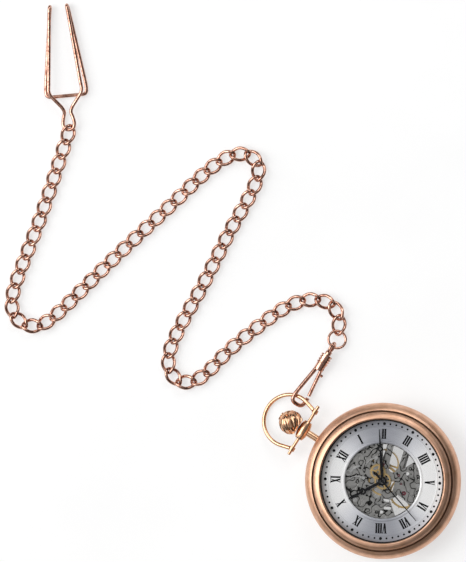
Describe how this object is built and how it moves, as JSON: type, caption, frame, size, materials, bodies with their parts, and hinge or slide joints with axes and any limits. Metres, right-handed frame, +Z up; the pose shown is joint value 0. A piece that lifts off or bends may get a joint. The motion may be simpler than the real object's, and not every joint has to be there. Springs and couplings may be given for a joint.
{
  "type": "pocket watch",
  "caption": "Rose gold skeleton pocket watch with crown and bow, a snap clasp, a long curb chain and a bent-wire belt clip.",
  "frame": {"origin": "on the ground under the middle of the dial; the watch, bow, chain and clip all lie on z = 0", "axes": "+Z up along the dial's axis, +Y to 12 o'clock and the pendant, +X to 3 o'clock"},
  "size_m": [0.0968, 0.1901, 0.0114],
  "materials": {
    "rose_gold": "polished",
    "chain_gold": "polished",
    "rhodium": "engraved satin",
    "dial_silver": "silvered, circular brushed",
    "hand_black": "gloss",
    "crystal": "clear",
    "gilt": "gilt",
    "steel": "polished",
    "ruby": "clear ruby",
    "seal": "matte"
  },
  "bodies": {
    "case": {"case_middle": "rose_gold", "front_bezel": "rose_gold", "front_crystal": "crystal", "glass_gaskets": "seal", "case_back_ring": "rose_gold", "rear_crystal": "crystal", "movement_ring": "steel", "pendant_neck": "rose_gold", "pendant_hub": "rose_gold", "bow_pins": "rose_gold", "dial_ring": "dial_silver", "main_plate": "rhodium", "barrel_bridge": "rhodium", "train_bridge": "rhodium", "pallet_cock": "rhodium", "balance_cock": "rhodium", "jewels": "ruby", "movement_screws": "steel", "keyless_springs": "steel", "click_spring": "steel", "hairspring": "steel"},
    "bow_body": {"bow": "rose_gold"},
    "clasp": {"clasp_body": "chain_gold"},
    "gate": {"clasp_gate": "chain_gold"},
    "swivel": {"swivel_eye": "chain_gold"},
    "ring": {"jump_ring": "chain_gold"},
    "run_a": {"chain_a": "chain_gold"},
    "run_b": {"chain_b": "chain_gold"},
    "run_c": {"chain_c": "chain_gold"},
    "run_d": {"chain_d": "chain_gold"},
    "run_e": {"chain_e": "chain_gold"},
    "clip": {"belt_clip": "chain_gold"},
    "winder": {"winding_pinion": "steel"},
    "stem": {"crown": "rose_gold", "winding_stem": "steel", "crown_seal": "seal"},
    "clutch": {"sliding_pinion": "steel"},
    "crown_wheel_body": {"crown_wheel": "steel"},
    "ratchet": {"ratchet_wheel": "steel", "barrel_arbor": "steel"},
    "barrel": {"mainspring_barrel": "steel", "mainspring": "steel"},
    "centre": {"centre_wheel": "gilt", "centre_pinion": "steel"},
    "third": {"third_wheel": "gilt", "third_pinion": "steel"},
    "seconds": {"fourth_wheel": "gilt", "seconds_hand": "hand_black"},
    "escape": {"escape_wheel": "steel"},
    "pallet": {"pallet_fork": "steel"},
    "balance": {"balance_wheel": "gilt", "balance_staff": "steel"},
    "minutes": {"cannon_pinion": "steel", "minute_hand": "hand_black"},
    "minute_works": {"minute_wheel": "gilt"},
    "hours": {"hour_wheel": "gilt", "hour_hand": "hand_black"},
    "lever": {"setting_lever": "steel"},
    "yoke_body": {"yoke": "steel"},
    "click_body": {"click": "steel"}
  },
  "joints": [
    {"name": "bow_swing", "type": "hinge", "parent": "case", "child": "bow_body", "pos_m": [0, 0.0291, 0.0044], "axis": [1, 0, 0], "range_deg": [-55, 105]},
    {"name": "clasp_yaw", "type": "hinge", "parent": "bow_body", "child": "clasp", "pos_m": [0.00785, 0.03626, 0.00239], "axis": [0, 0, 1], "range_deg": [-8, 8]},
    {"name": "gate_open", "type": "hinge", "parent": "clasp", "child": "gate", "pos_m": [0.0189, 0.03461, 0.0019], "axis": [0, -0.5, 0.866], "range_deg": [-15, 0], "stiffness_Nm_per_rad": 0.0015, "springref_deg": 5.73},
    {"name": "swivel_turn", "type": "hinge", "parent": "clasp", "child": "swivel", "pos_m": [0.0209, 0.0353, 0.0023], "axis": [1, 0, 0], "range_deg": [-105, 55]},
    {"name": "ring_yaw", "type": "hinge", "parent": "swivel", "child": "ring", "pos_m": [0.02745, 0.0353, 0.0021], "axis": [0, 0, 1], "range_deg": [-10, 10]},
    {"name": "chain_turn_1", "type": "hinge", "parent": "ring", "child": "run_a", "pos_m": [0.03075, 0.03626, 0.0014], "axis": [0, 0, 1], "range_deg": [-6, 6]},
    {"name": "chain_turn_2", "type": "hinge", "parent": "run_a", "child": "run_b", "pos_m": [-0.00144, 0.06411, 0.00135], "axis": [0, 0, 1], "range_deg": [-6, 6]},
    {"name": "chain_turn_3", "type": "hinge", "parent": "run_b", "child": "run_c", "pos_m": [0.05817, 0.08252, 0.00135], "axis": [0, 0, 1], "range_deg": [-6, 6]},
    {"name": "chain_turn_4", "type": "hinge", "parent": "run_c", "child": "run_d", "pos_m": [0.01973, 0.10571, 0.00135], "axis": [0, 0, 1], "range_deg": [-6, 6]},
    {"name": "chain_turn_5", "type": "hinge", "parent": "run_d", "child": "run_e", "pos_m": [-0.01443, 0.12764, 0.00135], "axis": [0, 0, 1], "range_deg": [-6, 6]},
    {"name": "clip_turn", "type": "hinge", "parent": "run_e", "child": "clip", "pos_m": [0.04074, 0.14033, 0.0011], "axis": [0, 0, 1], "range_deg": [-10, 10]},
    {"name": "crown_turn", "type": "hinge", "parent": "case", "child": "winder", "pos_m": [0, 0.0102, 0.0044], "axis": [0, 1, 0], "continuous": true},
    {"name": "crown_pull", "type": "slide", "parent": "winder", "child": "stem", "axis": [0, 1, 0], "range_m": [0, 0.0008]},
    {"name": "clutch_slide", "type": "slide", "parent": "winder", "child": "clutch", "axis": [0, 1, 0], "range_m": [-0.00055, 0]},
    {"name": "crown_wheel_turn", "type": "hinge", "parent": "case", "child": "crown_wheel_body", "pos_m": [0, 0.0072, 0.0026], "axis": [0, 0, 1], "continuous": true},
    {"name": "ratchet_turn", "type": "hinge", "parent": "case", "child": "ratchet", "pos_m": [-0.00725, 0.00338, 0.0026], "axis": [0, 0, 1], "continuous": true},
    {"name": "setting_lever_turn", "type": "hinge", "parent": "case", "child": "lever", "pos_m": [0.0032, 0.0125, 0.0074], "axis": [0, 0, 1], "range_deg": [-14.6, 0]},
    {"name": "yoke_turn", "type": "hinge", "parent": "case", "child": "yoke_body", "pos_m": [-0.0034, 0.0102, 0.0074], "axis": [0, 0, 1], "range_deg": [-9.3, 0]},
    {"name": "click_turn", "type": "hinge", "parent": "case", "child": "click_body", "pos_m": [-0.01297, 0.00668, 0.0023], "axis": [0, 0, 1], "range_deg": [0, 12], "stiffness_Nm_per_rad": 0.000001, "springref_deg": -9.74},
    {"name": "seconds_run", "type": "hinge", "parent": "case", "child": "seconds", "pos_m": [0, 0, 0.0036], "axis": [0, 0, 1], "continuous": true},
    {"name": "third_turn", "type": "hinge", "parent": "case", "child": "third", "pos_m": [0.0045, 0.0026, 0.004], "axis": [0, 0, 1], "continuous": true},
    {"name": "centre_turn", "type": "hinge", "parent": "case", "child": "centre", "pos_m": [0, 0, 0.005], "axis": [0, 0, 1], "continuous": true},
    {"name": "barrel_turn", "type": "hinge", "parent": "case", "child": "barrel", "pos_m": [-0.00725, 0.00338, 0.0045], "axis": [0, 0, 1], "continuous": true},
    {"name": "escape_turn", "type": "hinge", "parent": "case", "child": "escape", "pos_m": [0.004, -0.0033, 0.0047], "axis": [0, 0, 1], "continuous": true},
    {"name": "hand_setting", "type": "hinge", "parent": "case", "child": "minutes", "pos_m": [0, 0, 0.0075], "axis": [0, 0, 1], "continuous": true},
    {"name": "minute_works_turn", "type": "hinge", "parent": "case", "child": "minute_works", "pos_m": [0.0016, 0.00277, 0.0074], "axis": [0, 0, 1], "continuous": true},
    {"name": "hour_turn", "type": "hinge", "parent": "case", "child": "hours", "pos_m": [0, 0, 0.0077], "axis": [0, 0, 1], "continuous": true},
    {"name": "balance_swing", "type": "hinge", "parent": "case", "child": "balance", "pos_m": [0.0002, -0.0075, 0.004], "axis": [0, 0, 1], "range_deg": [-270, 270], "stiffness_Nm_per_rad": 0.00000035},
    {"name": "pallet_rock", "type": "hinge", "parent": "case", "child": "pallet", "pos_m": [0.0022, -0.0052, 0.0047], "axis": [0, 0, 1], "range_deg": [-5, 5]}
  ],
  "couplings": [
    {"joint": "swivel_turn", "follows": "bow_swing", "ratio": -1},
    {"joint": "clutch_slide", "follows": "crown_pull", "ratio": -0.6875},
    {"joint": "setting_lever_turn", "follows": "crown_pull", "rad_per_m": -316},
    {"joint": "yoke_turn", "follows": "crown_pull", "rad_per_m": -202},
    {"joint": "crown_wheel_turn", "follows": "crown_turn", "ratio": -0.46667},
    {"joint": "ratchet_turn", "follows": "crown_turn", "ratio": 0.26923},
    {"joint": "third_turn", "follows": "seconds_run", "ratio": -0.13333},
    {"joint": "centre_turn", "follows": "seconds_run", "ratio": 0.016667},
    {"joint": "barrel_turn", "follows": "seconds_run", "ratio": -0.002381},
    {"joint": "escape_turn", "follows": "seconds_run", "ratio": -10},
    {"joint": "minute_works_turn", "follows": "hand_setting", "ratio": -0.33333},
    {"joint": "hour_turn", "follows": "hand_setting", "ratio": 0.083333},
    {"joint": "pallet_rock", "follows": "balance_swing", "ratio": -0.018519}
  ]
}
